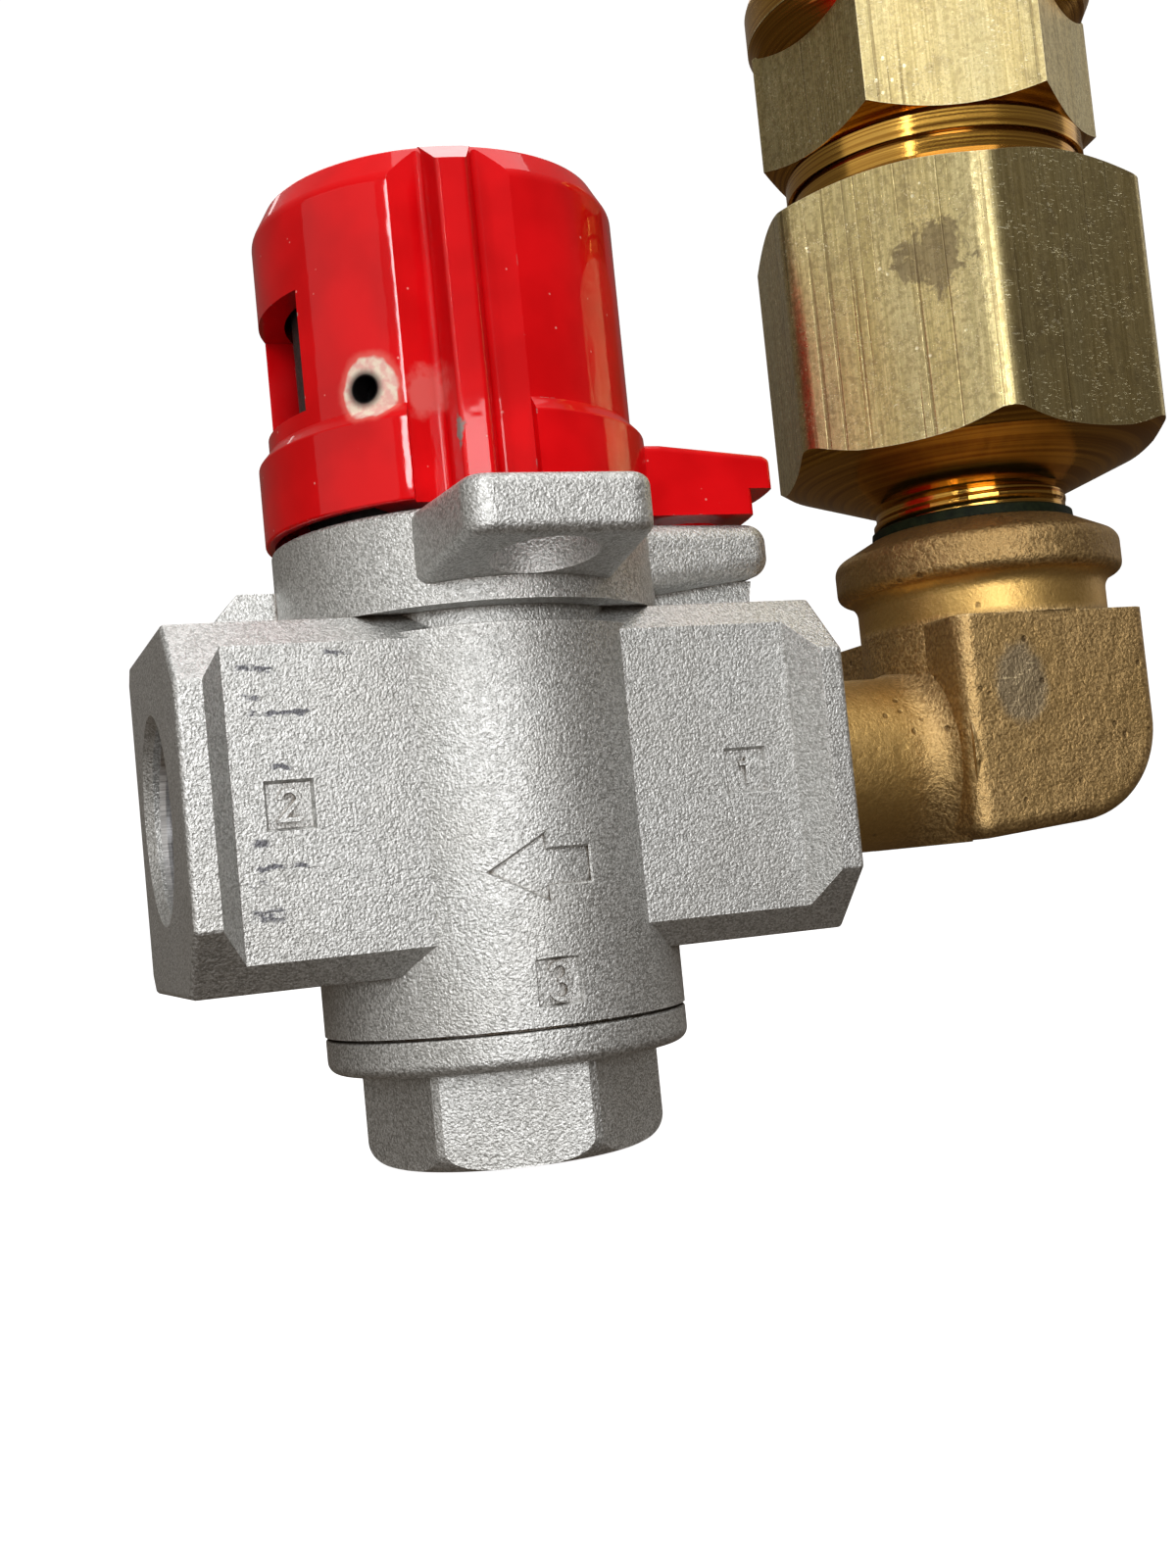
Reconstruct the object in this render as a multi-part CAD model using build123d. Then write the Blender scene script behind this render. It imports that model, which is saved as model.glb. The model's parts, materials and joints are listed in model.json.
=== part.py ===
from build123d import *
import math
import os

# Three way lock-out and pressure-relief valve with a brass compression elbow in port 1.
# Millimetres. X runs along the ports, Z up the spindle, and the two axes cross at the origin.
# Port 1 faces +X, port 2 faces -X and port 3 faces down. The knob's padlock tab points along +X.

# ---- cast body -------------------------------------------------------------------------------
BODY_HALF_LENGTH = 35.0
BODY_HALF_HEIGHT = 18.0
BODY_FRONT = 19.4              # rim face, towards -Y
BODY_CHAMFER = 6.3             # 45 degree chamfers along the front edges
BODY_BACK = 15.6
BACK_CHAMFER = 1.8
RIM_INNER = 32.3               # where the rim's flat face ends
RECESS_HALF_LENGTH = 29.9      # floor of the clamp recess between the rims
FRONT_RECESS = 15.9
BACK_RECESS = 13.6
CAST_EDGE = 0.6
COLUMN_R = 19.45
COLUMN_TOP = 15.9
COLUMN_BOTTOM = -24.1
PORT_R = 9.9                   # pitch radius of a 1/2 inch pipe thread
PORT_MOUTH_R = 10.8
PORT_MOUTH_DEPTH = 0.9
PORT_FLOOR = 19.0
PASSAGE_R = 4.2
PASSAGE_Z = 5.5                # port 1 enters above the middle, port 2 below it
MARK_DEPTH = 0.45
MARK_SIZE = 5.1                # side of the sunk square round a port number
MARK_TAPER = 35
ARROW_SLOPE = 0.2
MARK_LINE = 0.42

# ---- exhaust cap -----------------------------------------------------------------------------
CAP_FLANGE_R = 19.4
CAP_FLANGE_BOTTOM = -28.1
SEAM = 0.3                     # open gap at the rim between the body and the cap
CAP_BOTTOM = -38.2
CAP_HEX = 28.0
CAP_HEX_BAR_R = 15.9
CAP_HEX_TURN = -16.5           # a flat faces this far left of the front
CAP_SKIRT_R = 15.0
CAP_SKIRT_TOP = -14.6
EXHAUST_R = 7.9                # pitch radius of a 3/8 inch pipe thread
EXHAUST_LENGTH = 11.2

# ---- sleeve, spool and spring ----------------------------------------------------------------
SLEEVE_BORE_R = 8.0
SLEEVE_R = 11.95
SLEEVE_NECK_R = 10.4
SLEEVE_WAIST_R = 10.0          # air runs round the sleeve at its two waists
SLEEVE_WAISTS = ((2.0, 9.0), (-9.0, -2.0))
SLEEVE_BOTTOM = -13.5
SLEEVE_SHOULDER = 12.1
SLEEVE_TOP = 22.0
WINDOW_R = 2.4
WINDOW_Z = (5.5, -5.0)
SLEEVE_RINGS_Z = (10.6, 0.0, -11.3)
LAND_R = 7.95
LANDS = ((-11.5, -8.0), (8.5, 12.0))
SPOOL_CORE_R = 3.2
SPOOL_ROD_R = 4.0
SPOOL_TOP = 40.0
SPOOL_TRAVEL = 9.0             # from supply up to exhaust, over a quarter turn of the knob
SPRING_SEAT_Z = -22.6
SPRING_R = 5.9
SPRING_WIRE_R = 0.5
SPRING_TURNS = 5

# ---- bonnet and what stands on it ------------------------------------------------------------
BONNET_R = 20.6
BONNET_TOP = 27.7
SPIGOT_R = 17.0
SPIGOT_BOTTOM = 12.2
LUG_REACH = 33.3
LUG_TOP = 27.6
LUG_TIP_HALF = 9.3
LUG_ROOT_HALF = 10.6
PADLOCK_AT = 26.3              # padlock hole's distance from the spindle axis
PADLOCK_R = 5.4                # hole in the bonnet's lug
TAB_HOLE_R = 4.9               # hole in the knob's tab, clear of the knob's skirt
SCREW_AT = 13.7
SCREW_R = 1.25
SCREW_HEAD_R = 2.25
GUIDE_R = 6.0
GUIDE_TOP = 52.0
PIN_R = 1.25
PIN_Z = 36.0
PIN_TURN = -60.0               # direction of the cam pin, counted from +X
SLOT_R = 1.6
CAM_R = 8.85
CAM_BOTTOM = 28.95
CAM_TOP = 49.2
STOP_TURN = 135.0
STOP_AT = 18.9
STOP_R = 0.9
INDICATOR_R = 16.2
INDICATOR_TOP = 56.0

# ---- knob ------------------------------------------------------------------------------------
KNOB_R = 19.8
KNOB_BOTTOM = 28.5
KNOB_TOP = 64.9
KNOB_SHOULDER = 61.7           # the cap's edge leans in above this height
KNOB_TOP_R = 18.0
SKIRT_R = 21.1
SKIRT_TOP = 37.0
SKIRT_SLOPE = 1.5
KNOB_CAVITY_R = 17.0
KNOB_ROOF = 60.0
HUB_R = 12.3
HUB_BOTTOM = 31.0
RIB_TURN = -10.75              # the grip rib stands this far left of the front
RIB_REACH = 22.3
RIB_SHOULDER = 61.9
RIB_HALF = 1.5                 # at the nose
RIB_ROOT_HALF = 2.6
GROOVE_HALF = 6.2              # from the rib's middle to the far edge of the groove beside it
GROOVE_EDGE = 18.8             # distance of the groove's floor from the axis, at its far edge
GROOVE_FLOOR = 17.9            # and beside the rib
WINDOW_LOW, WINDOW_HIGH = 40.2, 52.8
WINDOW_HALF = 8.6
KEY_TURN = 228.5               # direction of the set screw, counted from +X
KEY_Z = 40.6
TAB_HALF = 9.2
TAB_REACH = 35.3
TAB_STEP_REACH = 32.8
TAB_STEP_Z = 31.4

# ---- brass elbow, adapter and nut ------------------------------------------------------------
LEG_X = 65.8                   # vertical leg of the elbow
SPIGOT_NECK_R = 10.2
ELBOW_PASSAGE_R = 7.0
BLOCK = (52.8, 78.8)           # wrench block along X
BLOCK_HALF_DEPTH = 14.6
BLOCK_BOTTOM, BLOCK_TOP = -8.2, 15.4
FLARE = 4.2
BEND_R = 11.5
LEG_R = 14.9
COLLAR_R = 17.15
COLLAR_TOP = 27.5
ADAPTER_HEX = 43.0
ADAPTER_BAR_R = 24.5
ADAPTER_HEX_TOP = 68.6
ADAPTER_CORNER = 3.4
ADAPTER_HEX_TURN = 10.0        # a flat faces this far right of the front
NUT_HEX = 36.0
NUT_HEX_TURN = -22.0
NUT_BOTTOM = 73.9
NUT_TOP = 99.0
NUT_COLLAR_R = 21.1
PIPE_R = 11.05


def rod(radius, low, high, x=0.0, y=0.0):
    """An upright cylinder between two heights."""
    return Pos(x, y, low) * Cylinder(radius, high - low, align=(Align.CENTER, Align.CENTER, Align.MIN))


def bar(radius, near, far, z=0.0):
    """A cylinder along X."""
    lying = Cylinder(radius, far - near, align=(Align.CENTER, Align.CENTER, Align.MIN))
    return Pos(near, 0, z) * Rot(0, 90, 0) * lying


def turned(*profile):
    """A solid turned about Z. Each point is (radius, height), or (radius, height, rounding)."""
    outline = make_face(Polyline(*[(point[0], 0, point[1]) for point in profile], close=True))
    for point in profile:
        if len(point) == 3:
            corner = outline.vertices().sort_by_distance((point[0], 0, point[1]))[0]
            outline = fillet(corner, point[2])
    return revolve(outline, axis=Axis.Z)


def turned_x(*profile):
    """The same about X: each point is (radius, distance along X)."""
    return Rot(0, 90, 0) * turned(*profile)


def ring(middle_r, section_r, z):
    """An O-ring lying flat."""
    return Pos(0, 0, z) * Torus(middle_r, section_r)


def tube(outer_r, inner_r, low, high):
    return rod(outer_r, low, high) - rod(inner_r, low - 1, high + 1)


def spoke(radius, near, far, turn, z):
    """A cylinder lying radially, from one distance to another, at an angle from +X."""
    return Rot(0, 0, turn) * bar(radius, near, far, z)


def hexagon(across_flats, low, high, turn):
    """A hexagonal bar with a flat facing the front, turned towards +X."""
    sketch = Rot(0, 0, turn) * RegularPolygon(across_flats / 2, 6, major_radius=False)
    return Pos(0, 0, low) * extrude(sketch, high - low)


def prism_x(outline, near, far):
    """A bar along X with a (y, z) section."""
    section = make_face(Polyline(*[(near, y, z) for y, z in outline], close=True))
    return extrude(section, far - near, dir=(1, 0, 0))


def prism_y(outline, near, far):
    """A bar along Y with an (x, z) section."""
    section = make_face(Polyline(*[(x, near, z) for x, z in outline], close=True))
    return extrude(section, far - near, dir=(0, 1, 0))


def prism_z(outline, low, high):
    """An upright bar with an (x, y) section."""
    section = make_face(Polyline(*[(x, y, low) for x, y in outline], close=True))
    return extrude(section, high - low, dir=(0, 0, 1))


def strokes(*lines):
    """Thin lines, drawn as (x, z) points."""
    return [trace(line, MARK_LINE) for line in lines]


def number_one():
    return [Polyline((-0.7, 0.75), (0.15, 0.75)), Polyline((0.15, 1.35), (0.15, -1.4))]


def number_two():
    return [
        ThreePointArc((-0.95, 0.6), (0.0, 1.4), (0.85, 0.5)),
        Polyline((0.85, 0.5), (-0.95, -1.4), (1.0, -1.4)),
    ]


def number_three():
    return [
        ThreePointArc((-0.8, 1.1), (0.85, 0.75), (-0.1, 0.1)),
        ThreePointArc((-0.1, 0.1), (0.95, -0.75), (-0.85, -1.15)),
    ]


def flow_arrow():
    tip, neck, tail = -5.4, 0.35, 5.0
    half_head, half_tail = 3.3, 1.75
    return Polyline(
        (tip, 0), (neck, half_head), (neck, half_tail), (tail, half_tail),
        (tail, -half_tail), (neck, -half_tail), (neck, -half_head), close=True,
    )


def facing_front(x, surface, z):
    return Plane((x, -surface, z), x_dir=(1, 0, 0), z_dir=(0, -1, 0))


def sunk_square(number, x, z, surface):
    """A square pocket with sloping walls in a front surface, less the number left standing in it."""
    lead = 0.15
    depth = lead + MARK_DEPTH
    into = Plane((x, -surface - lead, z), x_dir=(1, 0, 0), z_dir=(0, 1, 0))
    cut = extrude(into * Rectangle(MARK_SIZE, MARK_SIZE), depth, taper=MARK_TAPER)
    for sketch in strokes(*number):
        cut -= extrude(facing_front(x, surface + lead, z) * sketch, -depth)
    return cut


def sunk_arrow(solid, x, z):
    """Sink the flow arrow into the round front of the column, with its rim sloped."""
    skin = tube(COLUMN_R + 1, COLUMN_R - MARK_DEPTH, COLUMN_BOTTOM + 1, COLUMN_TOP - 1)
    solid -= extrude(facing_front(x, BODY_FRONT + 2, z) * make_face(flow_arrow()), -8) & skin
    rim = solid.edges().filter_by(
        lambda edge: abs(edge.center().X - x) < 5.5 and abs(edge.center().Z - z) < 3.4
        and math.hypot(edge.center().X, edge.center().Y) > COLUMN_R - 0.1 and edge.center().Y < 0
    )
    return chamfer(rim, ARROW_SLOPE)


def body_section():
    front, back, high = BODY_FRONT, BODY_BACK, BODY_HALF_HEIGHT
    return [
        (-front, BODY_CHAMFER - high),
        (-front, high - BODY_CHAMFER),
        (BODY_CHAMFER - front, high),
        (back - BACK_CHAMFER, high),
        (back, high - BACK_CHAMFER),
        (back, BACK_CHAMFER - high),
        (back - BACK_CHAMFER, -high),
        (BODY_CHAMFER - front, -high),
    ]


def clamp_recess(floor, face, side):
    """The shallow recess between the end rims, on the front (side -1) or the back (side 1)."""
    slope = (RIM_INNER - RECESS_HALF_LENGTH) / (face - floor)
    outer = face + 1.0
    reach = RIM_INNER + slope
    outline = [
        (-RECESS_HALF_LENGTH, side * floor),
        (RECESS_HALF_LENGTH, side * floor),
        (reach, side * outer),
        (-reach, side * outer),
    ]
    return prism_z(outline, -BODY_HALF_HEIGHT - 1, BODY_HALF_HEIGHT + 1)


def port_bore(side):
    """Threaded bore, mouth chamfer and inner passage of port 1 (side 1) or port 2 (side -1)."""
    near, far = PORT_FLOOR, BODY_HALF_LENGTH
    mouth = Pos(far, 0, 0) * Rot(0, 90, 0) * Cone(
        PORT_R, PORT_MOUTH_R, PORT_MOUTH_DEPTH, align=(Align.CENTER, Align.CENTER, Align.MAX)
    )
    cut = bar(PORT_R, near, far + 1) + mouth + bar(PASSAGE_R, 10.0, near + 1, side * PASSAGE_Z)
    return cut if side > 0 else Rot(0, 0, 180) * cut


def valve_body():
    block = prism_x(body_section(), -BODY_HALF_LENGTH, BODY_HALF_LENGTH)
    block = fillet(block.edges(), CAST_EDGE)
    block -= clamp_recess(FRONT_RECESS, BODY_FRONT, -1)
    block -= clamp_recess(BACK_RECESS, BODY_BACK, 1)
    solid = block + rod(COLUMN_R, COLUMN_BOTTOM, COLUMN_TOP)
    solid -= rod(SPIGOT_R + 0.05, 12.0, BODY_HALF_HEIGHT + 1)
    solid -= rod(12.0, -14.1, 12.1)
    solid -= rod(CAP_SKIRT_R + 0.05, COLUMN_BOTTOM - 1, -14.0)
    solid -= port_bore(1)
    solid -= port_bore(-1)
    for turn in (45, 135, 225, 315):
        solid -= Rot(0, 0, turn) * rod(SCREW_R, 4.4, 12.1, SCREW_AT)
    solid -= sunk_square(number_two(), -24.45, -0.35, FRONT_RECESS)
    solid -= sunk_square(number_one(), 24.0, -0.35, FRONT_RECESS)
    solid -= sunk_square(number_three(), -0.25, -19.85, COLUMN_R)
    return sunk_arrow(solid, -0.7, -8.6)


def exhaust_cap():
    """Port 3: a hexagon below a round flange, with a threaded skirt up into the body."""
    turn = CAP_HEX_TURN
    hexagonal = hexagon(CAP_HEX, CAP_BOTTOM, CAP_FLANGE_BOTTOM + 0.5, turn)
    bar_stock = turned(
        (0, CAP_BOTTOM), (CAP_HEX_BAR_R, CAP_BOTTOM, 2.4), (CAP_HEX_BAR_R, CAP_FLANGE_BOTTOM + 0.5),
        (0, CAP_FLANGE_BOTTOM + 0.5),
    )
    flange = turned(
        (0, CAP_FLANGE_BOTTOM), (CAP_FLANGE_R, CAP_FLANGE_BOTTOM, 1.3),
        (CAP_FLANGE_R, COLUMN_BOTTOM - SEAM, 0.3), (CAP_FLANGE_R - 1.2, COLUMN_BOTTOM - SEAM),
        (CAP_FLANGE_R - 1.2, COLUMN_BOTTOM - 0.05), (CAP_SKIRT_R, COLUMN_BOTTOM - 0.05),
        (CAP_SKIRT_R, CAP_SKIRT_TOP), (0, CAP_SKIRT_TOP),
    )
    solid = (hexagonal & bar_stock) + flange
    solid -= rod(EXHAUST_R, CAP_BOTTOM - 1, CAP_BOTTOM + EXHAUST_LENGTH)
    solid -= rod(6.0, CAP_BOTTOM, -20.0)
    solid -= rod(9.5, -24.0, -14.0)
    return solid - tube(CAP_SKIRT_R + 1, 13.4, -23.6, -21.7)


def valve_sleeve():
    solid = rod(SLEEVE_R, SLEEVE_BOTTOM, SLEEVE_SHOULDER) + rod(SLEEVE_NECK_R, SLEEVE_SHOULDER, SLEEVE_TOP)
    solid -= rod(SLEEVE_BORE_R, SLEEVE_BOTTOM - 1, SLEEVE_TOP + 1)
    for low, high in SLEEVE_WAISTS:
        solid -= tube(SLEEVE_R + 1, SLEEVE_WAIST_R, low, high)
    for height in WINDOW_Z:
        for turn in range(0, 360, 60):
            solid -= spoke(WINDOW_R, 6.0, 13.0, turn, height)
    for height in SLEEVE_RINGS_Z:
        solid -= tube(SLEEVE_R + 1, 10.42, height - 0.95, height + 0.95)
    return solid


def sleeve_o_rings():
    return Compound(children=[ring(11.2, 0.76, height) for height in SLEEVE_RINGS_Z])


def spool():
    (low_a, high_a), (low_b, high_b) = LANDS
    groove = 6.55
    solid = turned(
        (0, low_a - 2.5), (4.0, low_a - 2.5), (4.4, low_a - 2.1), (4.4, low_a), (LAND_R, low_a),
        (LAND_R, low_a + 0.8), (groove, low_a + 0.8), (groove, high_a - 0.8), (LAND_R, high_a - 0.8),
        (LAND_R, high_a), (SPOOL_CORE_R, high_a + 0.6), (SPOOL_CORE_R, low_b - 0.6), (LAND_R, low_b),
        (LAND_R, low_b + 0.8), (groove, low_b + 0.8), (groove, high_b - 0.8), (LAND_R, high_b - 0.8),
        (LAND_R, high_b), (SPOOL_ROD_R, high_b), (SPOOL_ROD_R, SPOOL_TOP - 0.6),
        (SPOOL_ROD_R - 0.6, SPOOL_TOP), (0, SPOOL_TOP),
    )
    return solid - spoke(PIN_R, -6, 6, PIN_TURN, PIN_Z)


def spool_seals():
    return Compound(children=[ring(7.26, 0.66, (low + high) / 2) for low, high in LANDS])


def return_spring():
    low = SPRING_SEAT_Z + SPRING_WIRE_R
    height = LANDS[0][0] - SPRING_WIRE_R - low
    coil = Helix(height / SPRING_TURNS, height, SPRING_R)
    section = Plane(origin=coil @ 0, z_dir=coil % 0) * Circle(SPRING_WIRE_R)
    return Pos(0, 0, low) * sweep(section, coil)


def bonnet_lug(edge):
    """A padlock lug towards the front: level on top, sloping underneath, with rounded edges."""
    plan = prism_z(
        [
            (-LUG_ROOT_HALF, -15.5), (-LUG_TIP_HALF, -LUG_REACH), (LUG_TIP_HALF, -LUG_REACH),
            (LUG_ROOT_HALF, -15.5),
        ],
        18.0, LUG_TOP,
    )
    side = prism_x(
        [(-LUG_REACH, 21.9), (-LUG_REACH, LUG_TOP), (-15.5, LUG_TOP), (-15.5, 19.7)], -20, 20
    )
    solid = plan & side
    corners = solid.edges().filter_by(Axis.Z).sort_by(Axis.Y)[:2]
    solid = fillet(corners, 2.6)
    rims = solid.edges().filter_by(lambda e: e.center().Y < -16.0)
    return fillet(rims, edge)


def bonnet():
    spigot = rod(SPIGOT_R, SPIGOT_BOTTOM, 18.5)
    drum = turned((0, 18.0), (BONNET_R, 18.0), (BONNET_R, BONNET_TOP, 0.5), (0, BONNET_TOP))
    front_lug = bonnet_lug(1.3) - rod(PADLOCK_R, 15, LUG_TOP + 1, 0, -PADLOCK_AT)
    side_lug = Rot(0, 0, 90) * bonnet_lug(2.2)
    pedestal = prism_y([(18, 18), (31.2, 18), (31.8, 21.5), (18, 21.5)], -6.0, 6.0)
    ear = prism_y([(-17, 18), (-29.4, 18), (-24.6, 23.4), (-17, 23.4)], 2.0, 10.0)
    solid = spigot + drum + front_lug + side_lug + pedestal + ear
    solid -= rod(10.6, SPIGOT_BOTTOM - 1, 24.3)
    solid -= rod(GUIDE_R + 0.1, 24.0, BONNET_TOP + 1)
    solid -= tube(SPIGOT_R + 1, 15.4, 13.0, 14.9) & rod(SPIGOT_R + 0.5, 12.5, 15.5)
    for turn in (45, 135, 225, 315):
        solid -= Rot(0, 0, turn) * rod(SCREW_R + 0.2, SPIGOT_BOTTOM - 1, 25.0, SCREW_AT)
        solid -= Rot(0, 0, turn) * rod(SCREW_HEAD_R + 0.25, 24.4, BONNET_TOP + 1, SCREW_AT)
    return solid - Rot(0, 0, STOP_TURN) * rod(STOP_R, 22.0, BONNET_TOP + 1, STOP_AT)


def bonnet_screws():
    screw = rod(SCREW_HEAD_R, 24.4, 26.9) + rod(SCREW_R - 0.02, 5.0, 24.5)
    screw -= extrude(Pos(0, 0, 25.6) * RegularPolygon(1.0, 6, major_radius=False), 3.0)
    placed = [Rot(0, 0, turn) * Pos(SCREW_AT, 0, 0) * screw for turn in (45, 135, 225, 315)]
    return Compound(children=placed)


def guide_tube():
    """Fixed tube that the knob turns on, slotted for the cam pin."""
    solid = rod(10.45, 22.1, 24.2) + rod(GUIDE_R, 24.0, GUIDE_TOP)
    solid -= rod(SPOOL_ROD_R + 0.05, 20.0, GUIDE_TOP + 1)
    slot = Box(2 * GUIDE_R + 4, 2 * SLOT_R, SPOOL_TRAVEL) + bar(SLOT_R, -8, 8, SPOOL_TRAVEL / 2)
    slot += bar(SLOT_R, -8, 8, -SPOOL_TRAVEL / 2)
    solid -= Rot(0, 0, PIN_TURN) * Pos(0, 0, PIN_Z + SPOOL_TRAVEL / 2) * slot
    return solid - tube(GUIDE_R + 1, 5.3, 49.6, 50.6)


def cam_pin():
    return spoke(PIN_R, -8.4, 8.4, PIN_TURN, PIN_Z)


def cam_sleeve():
    """Turns with the knob. Its two helical slots lift the cam pin over a quarter turn."""
    solid = tube(CAM_R, GUIDE_R + 0.05, CAM_BOTTOM, CAM_TOP)
    steps = 18
    for side in (0, 180):
        for step in range(steps + 1):
            share = step / steps
            turn = PIN_TURN + side + 90 * share
            solid -= spoke(SLOT_R, 4.0, 10.0, turn, PIN_Z + SPOOL_TRAVEL * share)
    return solid


def retaining_ring():
    solid = tube(8.2, 5.4, 49.7, 50.5)
    return solid - Rot(0, 0, 90) * Pos(7, 0, 50) * Box(6, 5, 3)


def indicator_sleeve():
    """Fixed drum seen through the knob's window, with a hole for the set screw's key."""
    solid = tube(INDICATOR_R, 14.0, BONNET_TOP, INDICATOR_TOP)
    return solid - spoke(1.7, 12.0, 18.0, KEY_TURN, KEY_Z)


def knob_groove(side):
    """Section of the groove on one side of the grip rib, deepest beside the rib."""
    beyond = 25.0
    flank = (RIB_ROOT_HALF - RIB_HALF) / (RIB_REACH - GROOVE_FLOOR)
    root = (side * RIB_ROOT_HALF, -GROOVE_FLOOR)
    outline = make_face(Polyline(
        root, (side * GROOVE_HALF, -GROOVE_EDGE), (side * (GROOVE_HALF + 1.2), -beyond),
        (side * (RIB_HALF - flank * (beyond - RIB_REACH)), -beyond), close=True,
    ))
    return fillet(outline.vertices().sort_by_distance((*root, 0))[0], 0.7)


def knob_rib():
    """The grip rib: tapered towards its rounded nose, and leaning in at its top as the cap does."""
    middle = 10.0
    flank = (RIB_ROOT_HALF - RIB_HALF) / (RIB_REACH - GROOVE_FLOOR)
    wide = RIB_ROOT_HALF + flank * (GROOVE_FLOOR - middle)
    outline = make_face(Polyline(
        (-wide, -middle), (-RIB_HALF, -RIB_REACH), (RIB_HALF, -RIB_REACH), (wide, -middle), close=True,
    ))
    outline = fillet(outline.vertices().sort_by(Axis.Y)[:2], 0.6)
    rib = Pos(0, 0, KNOB_BOTTOM) * extrude(outline, KNOB_TOP - KNOB_BOTTOM)
    return rib & turned(
        (0, KNOB_BOTTOM), (RIB_REACH + 0.5, KNOB_BOTTOM), (RIB_REACH + 0.5, RIB_SHOULDER - 0.3),
        (RIB_REACH - 0.2, RIB_SHOULDER, 0.7), (KNOB_TOP_R, KNOB_TOP, 0.8), (0, KNOB_TOP),
    )


def knob_tab():
    """Padlock tab towards +X, with a lip past its thicker part."""
    upper = prism_y(
        [(15, TAB_STEP_Z), (35.2, TAB_STEP_Z), (34.9, 34.4), (33.4, 35.2), (21, 36.4), (15, 36.4)],
        -TAB_HALF, TAB_HALF,
    )
    upper = upper & rod(TAB_REACH, TAB_STEP_Z - 1, 40)
    lower = prism_y(
        [(15, KNOB_BOTTOM), (40, KNOB_BOTTOM), (40, TAB_STEP_Z), (15, TAB_STEP_Z)], -TAB_HALF, TAB_HALF,
    )
    lower = lower & rod(TAB_STEP_REACH, KNOB_BOTTOM - 1, 40)
    shoulders = upper.edges().filter_by(lambda e: e.center().X > 16 and e.center().Z > TAB_STEP_Z + 0.5)
    corners = lower.edges().filter_by(Axis.Z).filter_by(lambda e: e.center().X > 20)
    solid = fillet(shoulders, 0.8) + fillet(corners, 0.8)
    return solid - rod(TAB_HOLE_R, 25, 40, PADLOCK_AT)


def knob():
    cap = turned(
        (0, KNOB_BOTTOM), (SKIRT_R, KNOB_BOTTOM, 0.3), (SKIRT_R, SKIRT_TOP, 0.4),
        (KNOB_R, SKIRT_TOP + SKIRT_SLOPE), (KNOB_R, KNOB_SHOULDER, 2.0), (KNOB_TOP_R, KNOB_TOP, 0.8),
        (0, KNOB_TOP),
    )
    for side in (-1, 1):
        cap -= Rot(0, 0, RIB_TURN) * Pos(0, 0, KNOB_BOTTOM - 1) * extrude(knob_groove(side), 50)
    solid = cap + Rot(0, 0, RIB_TURN) * knob_rib() + knob_tab()
    solid -= tube(KNOB_CAVITY_R, HUB_R, KNOB_BOTTOM - 1, KNOB_ROOF)
    solid -= rod(HUB_R + 0.1, KNOB_BOTTOM - 1, HUB_BOTTOM)
    solid -= rod(CAM_R + 0.05, KNOB_BOTTOM - 1, 57.0)
    solid -= Pos(-18, 0, (WINDOW_LOW + WINDOW_HIGH) / 2) * Box(8, 2 * WINDOW_HALF, WINDOW_HIGH - WINDOW_LOW)
    solid -= spoke(1.3, 11.0, 24.0, KEY_TURN, KEY_Z)
    solid -= spoke(SCREW_R, 8.0, 13.0, KEY_TURN, KEY_Z)
    return solid - stop_groove()


def stop_groove():
    """Quarter-turn groove in the knob's rim, which the stop pin limits."""
    outline = tube(STOP_AT + STOP_R + 0.3, KNOB_CAVITY_R - 0.5, KNOB_BOTTOM - 1, 31.8)
    spare = math.degrees(STOP_R / STOP_AT) + 1.0
    start, end = math.radians(STOP_TURN - spare), math.radians(STOP_TURN + 90 + spare)
    middle = (start + end) / 2
    corners = [(0, 0)]
    corners += [(40 * math.cos(a), 40 * math.sin(a)) for a in (start, middle, end)]
    return outline & prism_z(corners, KNOB_BOTTOM - 2, 33)


def stop_pin():
    return Rot(0, 0, STOP_TURN) * rod(STOP_R, 22.0, 31.2, STOP_AT)


def knob_set_screw():
    screw = spoke(SCREW_R - 0.02, 8.95, 12.1, KEY_TURN, KEY_Z)
    socket = extrude(RegularPolygon(0.75, 6, major_radius=False), 1.6)
    return screw - Rot(0, 0, KEY_TURN) * Pos(10.6, 0, KEY_Z) * Rot(0, 90, 0) * socket


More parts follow.
